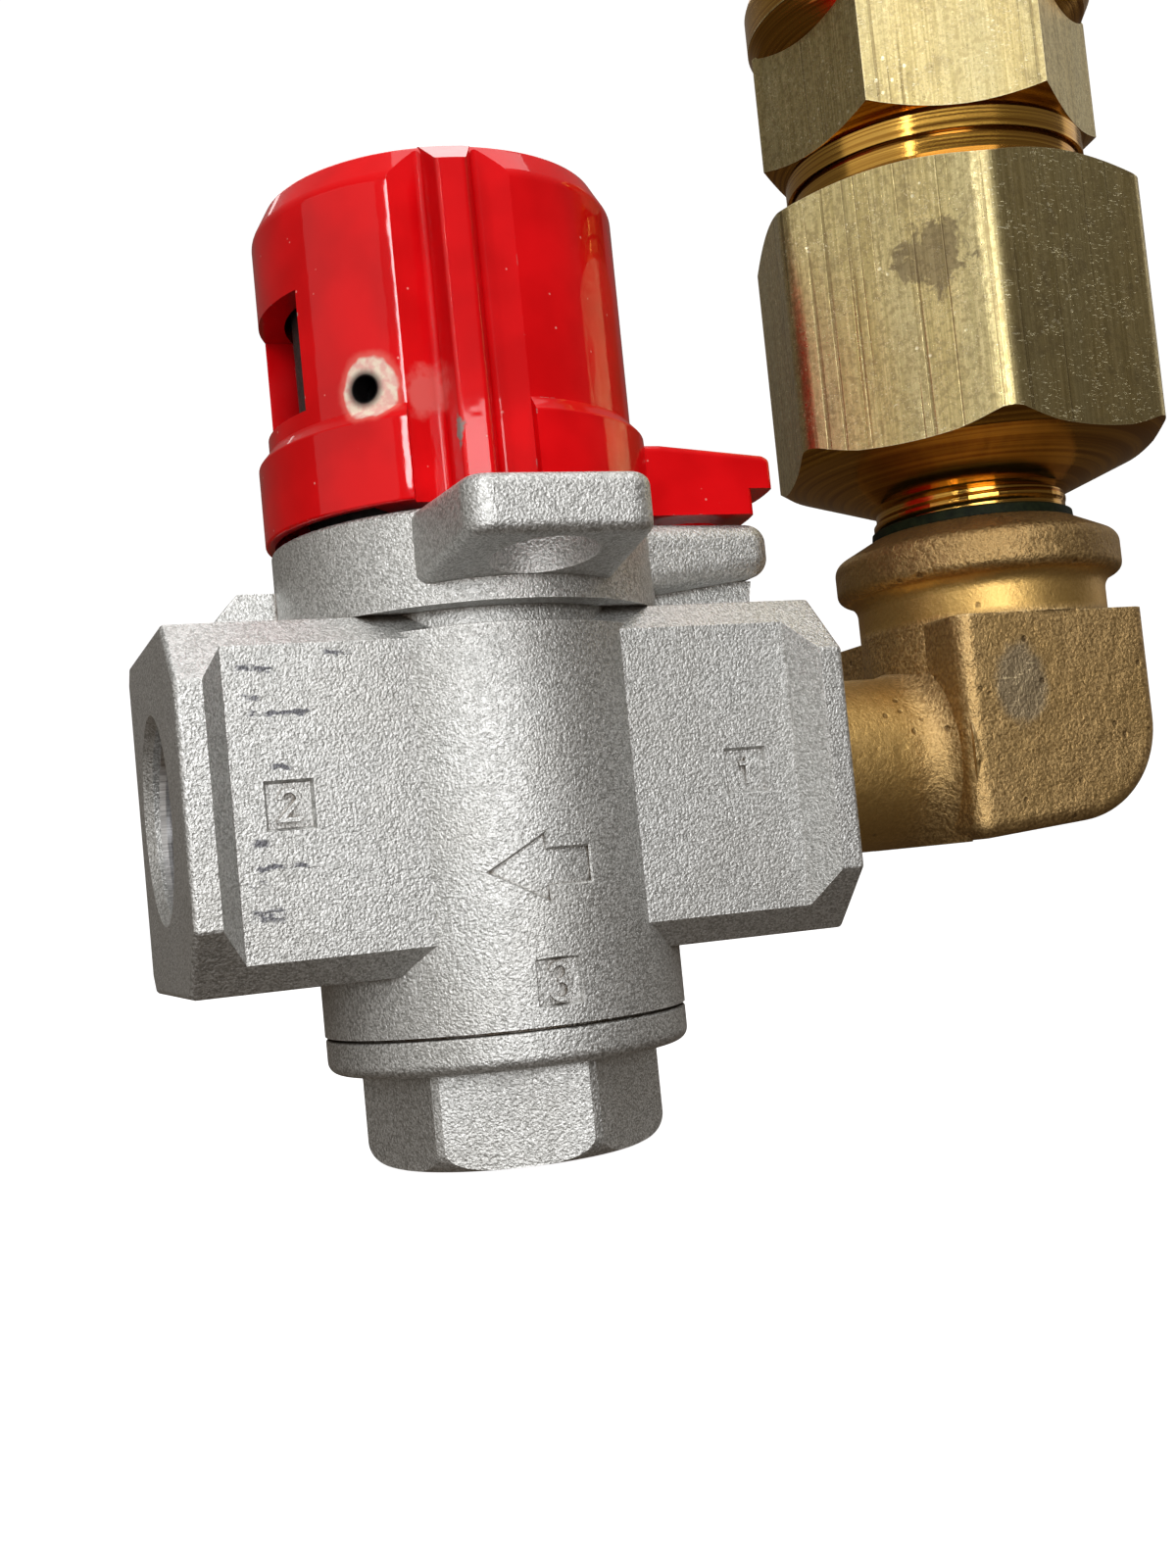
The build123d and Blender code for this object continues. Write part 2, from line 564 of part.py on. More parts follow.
def elbow_fitting():
    """Cast elbow: male thread into port 1, a wrench block, and a beaded female leg on top."""
    block = prism_y(
        [(BLOCK[0], -SPIGOT_NECK_R), (BLOCK[1], BLOCK_BOTTOM), (BLOCK[1], BLOCK_TOP), (BLOCK[0], BLOCK_TOP)],
        -BLOCK_HALF_DEPTH, BLOCK_HALF_DEPTH,
    )
    heel = block.edges().filter_by(Axis.Y).sort_by(lambda e: e.center().X - e.center().Z)[-1]
    block = fillet(heel, BEND_R)
    block = fillet(block.edges().filter_by(lambda e: e.center().Z < BLOCK_TOP - 0.1), 1.9)
    neck_start, flare_end = BODY_HALF_LENGTH + 0.2, BLOCK[0] + 0.5
    flare_r = SPIGOT_NECK_R + FLARE + 0.1
    spigot = turned_x(
        (0, 20.5), (PORT_R - 0.05, 20.5, 0.8), (PORT_R - 0.05, neck_start), (SPIGOT_NECK_R, neck_start),
        (SPIGOT_NECK_R, flare_end, FLARE), (flare_r, flare_end), (flare_r, flare_end + 1), (0, flare_end + 1),
    )
    spigot -= Pos(flare_end, 0, -SPIGOT_NECK_R - 5) * Box(12, 40, 10)
    leg = turned(
        (0, 6.0), (LEG_R, 6.0), (LEG_R, 19.9, 1.9), (COLLAR_R, 20.9, 1.2), (COLLAR_R, 25.0, 1.6),
        (12.4, COLLAR_TOP, 0.6), (0, COLLAR_TOP),
    )
    for side in (-1, 1):
        leg -= Pos(0, side * (BLOCK_HALF_DEPTH + 5 - 0.3), 0) * Box(60, 10, 2 * BLOCK_TOP)
    solid = block + spigot + Pos(LEG_X, 0, 0) * leg
    solid -= bar(ELBOW_PASSAGE_R, 20.0, LEG_X)
    solid -= rod(ELBOW_PASSAGE_R, 0, 20, LEG_X) + Pos(LEG_X, 0, 0) * Sphere(ELBOW_PASSAGE_R)
    return solid - rod(PORT_R, 13.5, COLLAR_TOP + 1, LEG_X)


def thread_sealant():
    """Cured sealant standing round each of the elbow's two threads."""
    mouth = Pos(34.5, 0, 0) * Rot(0, 90, 0) * tube(10.25, PORT_R - 0.05, 0, 0.7)
    bead = turned((11.45, 27.5), (12.2, 27.55), (12.1, 28.6), (11.45, 28.9))
    return Compound(children=[mouth, Pos(LEG_X, 0, 0) * bead])


def adapter_body():
    """Big hexagon: male thread down into the elbow, round neck and compression spigot on top."""
    stock = turned(
        (0, 14.0), (PORT_R - 0.05, 14.0), (PORT_R - 0.05, 27.5), (11.4, 27.5), (11.4, 30.9), (12.2, 31.5),
        (22.3, 35.6), (ADAPTER_BAR_R, 37.2), (ADAPTER_BAR_R, 65.6), (18.6, ADAPTER_HEX_TOP),
        (17.7, ADAPTER_HEX_TOP), (17.7, 70.7), (17.3, 70.8), (17.3, 71.1), (18.2, 71.2), (18.2, 73.5),
        (15.1, 73.5), (15.1, 86.0), (0, 86.0),
    )
    hexagonal = hexagon(ADAPTER_HEX, 31.5, ADAPTER_HEX_TOP, ADAPTER_HEX_TURN)
    hexagonal = fillet(hexagonal.edges().filter_by(Axis.Z), ADAPTER_CORNER)
    solid = (stock & hexagonal) + (stock & (rod(12.2, 13, 36) + rod(18.3, ADAPTER_HEX_TOP - 0.5, 87)))
    solid -= rod(ELBOW_PASSAGE_R, 13, 50) + rod(9.5, 48, 87)
    return Pos(LEG_X, 0, 0) * (solid - rod(PIPE_R, 76, 87))


def compression_nut():
    stock = turned(
        (0, NUT_BOTTOM - 0.3), (17.5, NUT_BOTTOM - 0.3), (18.0, NUT_BOTTOM), (20.9, NUT_BOTTOM + 1.7),
        (20.9, 93.0), (0, 93.0),
    )
    collar = turned(
        (0, 87.8), (18.0, 87.8), (20.2, 89.6), (NUT_COLLAR_R, 91.4), (NUT_COLLAR_R, 95.6), (20.4, 97.4),
        (18.6, NUT_TOP), (0, NUT_TOP),
    )
    solid = (stock & hexagon(NUT_HEX, NUT_BOTTOM - 1, 90.0, NUT_HEX_TURN)) + collar
    solid -= rod(15.15, NUT_BOTTOM - 2, 87.4) + rod(13.4, 87, 91.5) + rod(PIPE_R, 91, NUT_TOP + 1)
    return Pos(LEG_X, 0, 0) * solid


def compression_ferrule():
    return Pos(LEG_X, 0, 0) * turned(
        (PIPE_R, 86.1), (13.2, 87.6), (13.2, 89.8), (PIPE_R + 0.4, 91.3), (PIPE_R, 91.3),
    )


PARTS = {
    "valve_body": valve_body,
    "exhaust_cap": exhaust_cap,
    "exhaust_cap_o_ring": lambda: ring(14.22, 0.78, -22.65),
    "valve_sleeve": valve_sleeve,
    "sleeve_o_rings": sleeve_o_rings,
    "spool": spool,
    "spool_seals": spool_seals,
    "spring_seat": lambda: tube(9.4, 4.7, -24.0, SPRING_SEAT_Z),
    "return_spring": return_spring,
    "bonnet": bonnet,
    "bonnet_o_ring": lambda: ring(16.2, 0.78, 13.95),
    "bonnet_screws": bonnet_screws,
    "guide_tube": guide_tube,
    "cam_pin": cam_pin,
    "cam_sleeve": cam_sleeve,
    "thrust_washer": lambda: tube(11.0, GUIDE_R + 0.1, BONNET_TOP, 28.7),
    "retaining_ring": retaining_ring,
    "indicator_sleeve": indicator_sleeve,
    "stop_pin": stop_pin,
    "knob": knob,
    "knob_set_screw": knob_set_screw,
    "elbow_fitting": elbow_fitting,
    "thread_sealant": thread_sealant,
    "adapter_body": adapter_body,
    "compression_nut": compression_nut,
    "compression_ferrule": compression_ferrule,
}


def main():
    os.makedirs("parts", exist_ok=True)
    for node, make in PARTS.items():
        export_step(make(), f"parts/{node}.step")


main()
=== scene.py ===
import json
import math

import bmesh
import bpy
from mathutils import Matrix, Vector


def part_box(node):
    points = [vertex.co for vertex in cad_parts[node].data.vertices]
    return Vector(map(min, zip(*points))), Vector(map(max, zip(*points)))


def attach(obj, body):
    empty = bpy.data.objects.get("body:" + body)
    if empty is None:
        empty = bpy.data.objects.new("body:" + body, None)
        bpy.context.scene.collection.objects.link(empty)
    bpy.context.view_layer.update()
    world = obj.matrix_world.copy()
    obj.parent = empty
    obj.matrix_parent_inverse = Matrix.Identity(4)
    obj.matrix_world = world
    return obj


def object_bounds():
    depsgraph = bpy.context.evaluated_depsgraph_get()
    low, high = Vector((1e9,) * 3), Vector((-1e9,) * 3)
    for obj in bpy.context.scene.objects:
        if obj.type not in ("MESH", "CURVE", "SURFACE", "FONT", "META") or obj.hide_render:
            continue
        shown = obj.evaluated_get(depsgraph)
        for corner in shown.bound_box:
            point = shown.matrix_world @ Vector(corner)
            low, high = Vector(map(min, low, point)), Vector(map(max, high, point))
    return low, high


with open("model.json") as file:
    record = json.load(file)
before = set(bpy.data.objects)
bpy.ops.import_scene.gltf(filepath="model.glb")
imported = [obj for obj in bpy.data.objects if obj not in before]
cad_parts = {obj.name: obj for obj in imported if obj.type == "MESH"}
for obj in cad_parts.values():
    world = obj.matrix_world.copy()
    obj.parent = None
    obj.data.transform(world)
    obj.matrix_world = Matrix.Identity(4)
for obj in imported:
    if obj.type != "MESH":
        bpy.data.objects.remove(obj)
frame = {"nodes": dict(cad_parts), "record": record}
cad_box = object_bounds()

# The lock-out valve's looks: paint, brass, wear, painted shade and painted highlights on the CAD nodes, real
# threads in the open ports, and a pale studio. Lengths in the material code are millimetres, and elsewhere
# metres.

MM = 0.001
nodes = frame["nodes"]


def middle(node):
    low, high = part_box(node)
    return (low + high) / 2


# ---- places, read from the frame ---------------------------------------------------------------
BODY_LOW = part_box("valve_body")[0]
ADAPTER_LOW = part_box("adapter_body")[0]
NUT_LOW, NUT_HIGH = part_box("compression_nut")
CAP_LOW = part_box("exhaust_cap")[0]
ELBOW_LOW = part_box("elbow_fitting")[0]
LEG_X = middle("compression_nut").x
LEG_MM = LEG_X / MM
MOUNTS = {mount["name"]: mount for mount in frame["record"]["mounts"]}

# ---- wear, and places for painted shade, in millimetres ----------------------------------------
# Rub marks beside port 2: start and end along X, height, and half width.
DASHES = (
    (-28.6, -24.8, 12.8, 0.45), (-19.9, -17.2, 14.2, 0.35), (-27.6, -21.9, 8.5, 0.30),
    (-28.4, -26.8, -3.8, 0.60), (-28.9, -23.2, -6.2, 0.28), (-29.0, -26.0, -10.8, 0.75),
    (-28.8, -27.2, -7.6, 0.60), (-17.0, -16.0, -2.2, 0.25), (-26.0, -24.0, 3.4, 0.30),
    (-28.2, -26.6, 10.2, 0.35),
)
DASH_LIFT = 0.6                # what the wavering adds to a mark's height on average
PORT_FACE_X = (-30.0, -16.5)   # the rubbed part of the front face
KNOB_WALL_R = 19.6             # where the set screw's hole opens
KNOB_HAZE = (-7.5, -18.0, 39.7)
KNOB_CHIP = (-6.1, -21.2, 34.7)
ELBOW_GROOVE_Z = (15.8, 21.2)
ELBOW_GROOVE_R = (15.6, 16.4)
ELBOW_COLLAR_Z = (20.5, 22.0)
ADAPTER_FLAT = 21.5            # from the leg's axis to a flat
STAIN_TURN, STAIN_ALONG, STAIN_Z = -50, 5.0, 55.5

# ---- camera ------------------------------------------------------------------------------------
CAMERA_PLACE = (-0.057205, -0.181807, -0.010466)
CAMERA_TURN, CAMERA_RISE, CAMERA_ROLL = 20.87, 3.195, -5.648
CAMERA_LENS = 53.5

# ---- thread section, as parts of the pitch -----------------------------------------------------
ROOT_HALF, CREST_HALF = 0.46, 0.11
THREAD_STEPS = 64              # per turn


# ---- node graphs -------------------------------------------------------------------------------
class Graph:
    """A material's shader, and short calls that add nodes and join them."""

    def __init__(self, name):
        self.material = bpy.data.materials.new(name)
        self.material.use_nodes = True
        self.tree = self.material.node_tree
        self.tree.nodes.clear()
        output = self.tree.nodes.new("ShaderNodeOutputMaterial")
        self.shader = self.tree.nodes.new("ShaderNodeBsdfPrincipled")
        self.tree.links.new(self.shader.outputs[0], output.inputs["Surface"])
        self.place = self.add("ShaderNodeTexCoord").outputs["Object"]
        self.mm = self.stretch((1 / MM, 1 / MM, 1 / MM))

    def add(self, kind, **settings):
        node = self.tree.nodes.new(kind)
        for name, value in settings.items():
            setattr(node, name, value)
        return node

    def feed(self, socket, value):
        if isinstance(value, bpy.types.NodeSocket):
            self.tree.links.new(value, socket)
        elif isinstance(value, tuple) and socket.type == "RGBA":
            socket.default_value = (*value, 1.0)
        else:
            socket.default_value = value

    def stretch(self, scale, vector=None, turn=(0, 0, 0), shift=(0, 0, 0)):
        node = self.add("ShaderNodeMapping")
        self.feed(node.inputs["Vector"], vector or self.place)
        node.inputs["Location"].default_value = shift
        node.inputs["Rotation"].default_value = [math.radians(angle) for angle in turn]
        node.inputs["Scale"].default_value = scale
        return node.outputs[0]

    def noise(self, scale, detail=2.0, rough=0.5, vector=None, bend=0.0):
        node = self.add("ShaderNodeTexNoise")
        self.feed(node.inputs["Vector"], vector or self.mm)
        node.inputs["Scale"].default_value = scale
        node.inputs["Detail"].default_value = detail
        node.inputs["Roughness"].default_value = rough
        node.inputs["Distortion"].default_value = bend
        return node.outputs["Fac"]

    def cells(self, scale):
        """Distance to the nearest of many scattered points, and a random colour for each point."""
        node = self.add("ShaderNodeTexVoronoi", feature="F1")
        self.feed(node.inputs["Vector"], self.mm)
        node.inputs["Scale"].default_value = scale
        return node.outputs["Distance"], node.outputs["Color"]

    def sum(self, kind, a, b=0.0, c=0.0):
        node = self.add("ShaderNodeMath", operation=kind)
        for socket, value in zip(node.inputs, (a, b, c)):
            self.feed(socket, value)
        return node.outputs[0]

    def ramp(self, value, low, high, start=0.0, end=1.0):
        """A smooth step: start below low, end above high."""
        node = self.add("ShaderNodeMapRange", interpolation_type="SMOOTHSTEP")
        self.feed(node.inputs["Value"], value)
        node.inputs["From Min"].default_value = low
        node.inputs["From Max"].default_value = high
        node.inputs["To Min"].default_value = start
        node.inputs["To Max"].default_value = end
        return node.outputs[0]

    def both(self, *masks):
        result = masks[0]
        for mask in masks[1:]:
            result = self.sum("MULTIPLY", result, mask)
        return result

    def tint(self, mask, a, b, blend="MIX"):
        node = self.add("ShaderNodeMix", data_type="RGBA", blend_type=blend)
        self.feed(node.inputs[0], mask)
        self.feed(node.inputs[6], a)
        self.feed(node.inputs[7], b)
        return node.outputs[2]

    def fade(self, mask, a, b):
        node = self.add("ShaderNodeMix", data_type="FLOAT")
        self.feed(node.inputs[0], mask)
        self.feed(node.inputs[2], a)
        self.feed(node.inputs[3], b)
        return node.outputs[0]

    def parts(self, vector=None):
        node = self.add("ShaderNodeSeparateXYZ")
        self.feed(node.inputs[0], vector or self.mm)
        return node.outputs

    def distance(self, point, squeeze=(1, 1, 1)):
        """Distance in millimetres from a point, with each axis scaled."""
        scale = [factor / MM for factor in squeeze]
        shift = [-place * factor for place, factor in zip(point, squeeze)]
        vector = self.stretch(scale, shift=shift)
        node = self.add("ShaderNodeVectorMath", operation="LENGTH")
        self.feed(node.inputs[0], vector)
        return node.outputs["Value"]

    def radius(self, x):
        """Distance in millimetres from the upright line through x."""
        return self.distance((x, 0, 0), (1, 1, 0))

    def band(self, value, low, high, soft):
        inside = self.ramp(value, low - soft, low + soft)
        return self.both(inside, self.ramp(value, high - soft, high + soft, 1.0, 0.0))

    def edges(self, radius, low=0.01, high=0.12):
        """Where the surface turns sharply, within a radius in millimetres."""
        soft = self.add("ShaderNodeBevel", samples=6)
        soft.inputs["Radius"].default_value = radius * MM
        true = self.add("ShaderNodeNewGeometry").outputs["True Normal"]
        node = self.add("ShaderNodeVectorMath", operation="DOT_PRODUCT")
        self.feed(node.inputs[0], soft.outputs[0])
        self.feed(node.inputs[1], true)
        turn = self.sum("SUBTRACT", 1.0, node.outputs["Value"])
        return self.ramp(turn, low, high)

    def corners(self, reach):
        """Corners and creases found by ambient occlusion, within a reach in millimetres: where painted shade
        goes.
        """
        node = self.add("ShaderNodeAmbientOcclusion", samples=6)
        node.inputs["Distance"].default_value = reach * MM
        return self.ramp(node.outputs["AO"], 0.35, 0.85, 1.0, 0.0)

    def bump(self, height, depth, under=None):
        node = self.add("ShaderNodeBump")
        self.feed(node.inputs["Height"], height)
        node.inputs["Distance"].default_value = depth * MM
        if under:
            self.feed(node.inputs["Normal"], under)
        return node.outputs[0]

    def finish(self, **sockets):
        names = {"color": "Base Color", "rough": "Roughness", "metal": "Metallic", "normal": "Normal",
                 "coat": "Coat Weight", "coat_rough": "Coat Roughness", "coat_normal": "Coat Normal",
                 "specular": "Specular IOR Level"}
        for name, value in sockets.items():
            self.feed(self.shader.inputs[names[name]], value)
        return self.material


# ---- materials ---------------------------------------------------------------------------------
def streaks(graph, turn, spacing, long, short, low, high):
    """Thin scratches that run one way: high where there is one."""
    vector = graph.stretch((long, short, short), graph.mm, turn)
    lines = graph.ramp(graph.noise(1.0, 2.0, 0.6, vector), low, high)
    where = graph.ramp(graph.noise(spacing, 2.0), 0.46, 0.58)
    return graph.both(lines, where)


def grey_paint():
    """Silver metallic paint over a sand-textured casting, with rub marks on the front beside port 2, and
    painted shade in the creases.
    """
    g = Graph("silver_sand_paint")
    grain = g.noise(3.6, 1.0, 0.5)
    fine = g.noise(5.6, 1.0, 0.5)
    flake = g.parts(g.cells(3.4)[1])[0]
    cloud = g.noise(0.09, 3.0, 0.55)
    sand = g.sum("MULTIPLY_ADD", flake, 0.26, g.sum("MULTIPLY", grain, 0.74))
    color = g.tint(g.ramp(sand, 0.34, 0.66), (0.41, 0.412, 0.40), (0.72, 0.725, 0.715))
    color = g.tint(g.ramp(fine, 0.57, 0.70, 0.0, 0.8), color, (1.0, 1.0, 0.99))
    color = g.tint(g.ramp(cloud, 0.35, 0.7, 0.0, 0.2), color, (0.50, 0.48, 0.44))
    worn = g.both(g.edges(0.35), g.ramp(g.noise(0.9, 3.0), 0.35, 0.6))
    color = g.tint(g.sum("MULTIPLY", worn, 0.6), color, (0.98, 0.98, 0.96))
    # corner darkening from ambient occlusion, in patches: painted shade in the creases, and some real soiling
    dirt_and_shade = g.both(g.corners(1.1), g.ramp(g.noise(0.5, 3.0), 0.3, 0.6, 0.75, 1.0))
    color = g.tint(dirt_and_shade, color, (0.13, 0.10, 0.07))
    color = g.tint(scuffs(g), color, (0.09, 0.09, 0.11))
    rough = g.fade(g.ramp(grain, 0.3, 0.7), 0.47, 0.58)
    normal = g.bump(g.sum("MULTIPLY_ADD", fine, 0.25, grain), 0.12)
    return g.finish(color=color, rough=rough, metal=0.88, normal=normal)


def scuffs(g):
    """Dark, broken, nearly level rub marks on the front face beside port 2."""
    x, y, z = g.parts()
    face = g.both(g.band(x, *PORT_FACE_X, 1.2), g.ramp(y, -15.6, -15.2, 1.0, 0.0))
    ragged = g.sum("MULTIPLY_ADD", g.noise(1.1, 3.0, 0.6), 1.1, -0.55)
    level = g.sum("MULTIPLY_ADD", g.noise(0.25, 2.0), 1.2, g.sum("ADD", z, ragged))
    marks = None
    for start, end, height, width in DASHES:
        along = g.band(g.sum("ADD", x, ragged), start, end, 0.35)
        off = g.sum("ABSOLUTE", g.sum("SUBTRACT", level, height + DASH_LIFT))
        line = g.ramp(off, width * 0.5, width, 1.0, 0.0)
        dash = g.both(along, line)
        marks = g.sum("MAXIMUM", marks, dash) if marks else dash
    broken = g.ramp(g.noise(1.6, 3.0, 0.6, g.stretch((0.5, 1.0, 1.0), g.mm)), 0.36, 0.52)
    return g.both(face, marks, broken, 0.85)


def red_paint():
    """Glossy red enamel: orange peel, dust specks, chipped edges and bare primer round the small hole, with
    painted shade in the flutes and in the hole.
    """
    g = Graph("red_enamel")
    hole = frame_point("knob_set_screw", KNOB_WALL_R)
    peel = g.noise(0.5, 1.0, 0.5)
    tone = g.noise(0.12, 2.0, 0.5)
    color = g.tint(g.ramp(tone, 0.3, 0.7), (0.60, 0.0, 0.002), (0.76, 0.001, 0.004))
    near, shade = g.cells(0.62)
    speck = g.both(g.ramp(near, 0.05, 0.10, 1.0, 0.0), g.ramp(g.parts(shade)[0], 0.70, 0.72))
    color = g.tint(g.sum("MULTIPLY", speck, 0.6), color, (0.86, 0.42, 0.36))
    worn = (hole[0] + 0.5, hole[1] - 0.3, hole[2] - 0.1)
    ragged = g.sum("MULTIPLY_ADD", g.noise(0.5, 2.0, 0.5), 1.2, g.distance(worn, (1, 1, 0.95)))
    rubbed = g.ramp(ragged, 3.8, 4.7, 1.0, 0.0)
    bare = g.ramp(ragged, 3.5, 3.9, 1.0, 0.0)
    color = g.tint(g.sum("MULTIPLY", rubbed, 0.6), color, (0.80, 0.16, 0.13))
    primer = g.tint(g.ramp(g.noise(0.9, 3.0), 0.38, 0.62), (0.86, 0.72, 0.58), (0.80, 0.46, 0.40))
    color = g.tint(bare, color, primer)
    haze = g.sum("MULTIPLY_ADD", g.noise(0.6, 3.0), 3.0, g.distance(KNOB_HAZE, (1, 1, 0.9)))
    haze = g.ramp(haze, 3.2, 4.4, 0.4, 0.0)
    color = g.tint(haze, color, (0.75, 0.25, 0.22))
    # painted shade: the hole's mouth darkened nearly to black
    hole_mouth_shade = g.ramp(g.distance(hole), 1.45, 2.3, 0.85, 0.0)
    color = g.tint(hole_mouth_shade, color, (0.05, 0.04, 0.035))
    chips = g.both(g.edges(0.3, 0.03, 0.12), g.ramp(g.noise(0.55, 4.0, 0.7), 0.60, 0.64))
    dent = g.sum("MULTIPLY_ADD", g.noise(1.2, 3.0), 1.6, g.distance(KNOB_CHIP, (1, 1, 0.55)))
    chips = g.sum("MAXIMUM", chips, g.ramp(dent, 1.5, 1.9, 1.0, 0.0))
    color = g.tint(chips, color, (0.30, 0.27, 0.25))
    # painted shade in the flutes and other recesses, found by ambient occlusion
    hollow_shade = g.both(g.corners(2.5), 0.45)
    color = g.tint(hollow_shade, color, (0.25, 0.0, 0.002))
    # painted shade: the hole's inside wall made near black
    inside = hole_wall(g, hole)
    color = g.tint(inside, color, (0.006, 0.005, 0.005))
    dull = g.sum("MAXIMUM", g.sum("MAXIMUM", bare, chips), inside)
    rough = g.fade(g.sum("MAXIMUM", dull, haze), g.ramp(tone, 0.3, 0.7, 0.30, 0.40), 0.6)
    coat = g.fade(dull, 0.62, 0.0)
    pitted = g.sum("SUBTRACT", g.sum("MULTIPLY_ADD", speck, 0.6, peel), g.sum("MULTIPLY", dull, 2.0))
    normal = g.bump(pitted, 0.012)
    return g.finish(color=color, rough=rough, coat=coat, coat_rough=0.04, normal=normal, coat_normal=normal,
                    specular=0.05)


def hole_wall(g, hole):
    """The inside of the set screw's hole, which points at the spindle axis: a mask for the painted shade that
    makes it near black.
    """
    turn = -math.degrees(math.atan2(hole[1], hole[0]))
    aimed = g.stretch((1, 1, 1), g.mm, (0, 0, turn))
    length = g.add("ShaderNodeVectorMath", operation="LENGTH")
    g.feed(length.inputs[0], g.stretch((0, 1, 1), aimed, shift=(0, 0, -hole[2])))
    near = g.ramp(g.distance(hole), 6.5, 7.5, 1.0, 0.0)
    return g.both(near, g.ramp(length.outputs["Value"], 1.35, 1.6, 1.0, 0.0))


def frame_point(node, radius):
    """The point at a distance from the spindle, in millimetres, on the line through a node's middle."""
    point = middle(node) / MM
    flat = Vector((point.x, point.y, 0)).normalized() * radius
    return flat.x, flat.y, point.z


def drawn_brass(name, low, high, inner, stain=None):
    """Hexagonal bar brass: drawn lines, nicks and tarnish on the flats, bright turning marks elsewhere,
    painted shade in the corners, and a painted highlight with rubbed metal on the flats' edges.

    The flats are the upright faces between two heights and outside the inner radius."""
    g = Graph(name)
    z = g.parts()[2]
    upright = g.parts(g.add("ShaderNodeTexCoord").outputs["Normal"])[2]
    flats = g.both(g.band(z, low, high, 0.15), g.ramp(g.radius(LEG_MM), inner - 0.2, inner),
                   g.ramp(g.sum("ABSOLUTE", upright), 0.1, 0.25, 1.0, 0.0))
    fine = g.noise(1.0, 3.0, 0.6, g.stretch((3.4, 3.4, 0.05), g.mm))
    lines = g.ramp(g.noise(1.0, 2.0, 0.55, g.stretch((1.3, 1.3, 0.012), g.mm)), 0.60, 0.66)
    broad = g.noise(1.0, 2.0, 0.5, g.stretch((0.22, 0.22, 0.03), g.mm))
    grain = g.noise(1.4, 4.0, 0.7)
    rings = g.noise(1.0, 3.0, 0.6, g.stretch((0.02, 0.02, 4.0), g.mm))
    stock = g.tint(g.ramp(fine, 0.32, 0.68), (0.53, 0.425, 0.175), (0.82, 0.68, 0.335))
    stock = g.tint(g.ramp(broad, 0.35, 0.7, 0.0, 0.4), stock, (0.66, 0.60, 0.34))
    stock = g.tint(g.ramp(grain, 0.44, 0.62, 0.0, 0.65), stock, (0.33, 0.255, 0.115))
    stock = g.tint(g.sum("MULTIPLY", lines, 0.6), stock, (0.24, 0.18, 0.08))
    turning = g.tint(g.ramp(rings, 0.35, 0.65), (0.44, 0.21, 0.035), (0.80, 0.46, 0.095))
    color = g.tint(flats, turning, stock)
    rough = g.fade(flats, g.ramp(rings, 0.3, 0.7, 0.12, 0.22), g.ramp(grain, 0.3, 0.7, 0.26, 0.40))
    scratch = g.sum("MAXIMUM", streaks(g, (0, 35, 20), 0.30, 0.40, 5.0, 0.64, 0.68),
                    streaks(g, (0, -50, 60), 0.34, 0.45, 5.5, 0.64, 0.68))
    scratch = g.sum("MAXIMUM", scratch, streaks(g, (0, 88, 5), 0.28, 0.5, 5.0, 0.65, 0.69))
    near = g.cells(0.8)[0]
    nick = g.both(g.ramp(near, 0.12, 0.2, 1.0, 0.0), g.ramp(g.noise(0.14, 2.0), 0.57, 0.61))
    marks = g.both(flats, g.sum("MAXIMUM", scratch, nick))
    color = g.tint(g.sum("MULTIPLY", marks, 0.9), color, (1.0, 0.92, 0.62))
    tarnish = g.ramp(g.noise(0.2, 5.0, 0.7), 0.54, 0.70, 0.0, 0.5)
    color = g.tint(g.both(flats, tarnish), color, (0.28, 0.215, 0.11))
    if stain:
        spread = g.noise(0.42, 4.0, 0.7, bend=0.6)
        ragged = g.sum("MULTIPLY_ADD", spread, 10.0, g.distance(stain, (0.72, 0.72, 0.85)))
        spill = g.both(g.ramp(ragged, 7.4, 8.6, 1.0, 0.0), flats)
        color = g.tint(g.sum("MULTIPLY", spill, 0.66), color, (0.16, 0.125, 0.075))
        rough = g.fade(spill, rough, 0.55)
    # corner darkening from ambient occlusion: painted shade, and some soiling in the corners
    grime_and_shade = g.corners(1.0)
    color = g.tint(g.sum("MULTIPLY", grime_and_shade, 0.6), color, (0.12, 0.07, 0.03))
    # the flats' edges lightened: a painted highlight, and rubbed bright metal
    bright = g.both(flats, g.edges(0.3, 0.02, 0.15))
    color = g.tint(g.sum("MULTIPLY", bright, 0.6), color, (1.0, 0.88, 0.55))
    height = g.fade(flats, g.sum("MULTIPLY", rings, 0.5), g.sum("SUBTRACT", fine, g.sum("ADD", marks, lines)))
    return g.finish(color=color, rough=rough, metal=1.0, normal=g.bump(height, 0.018))


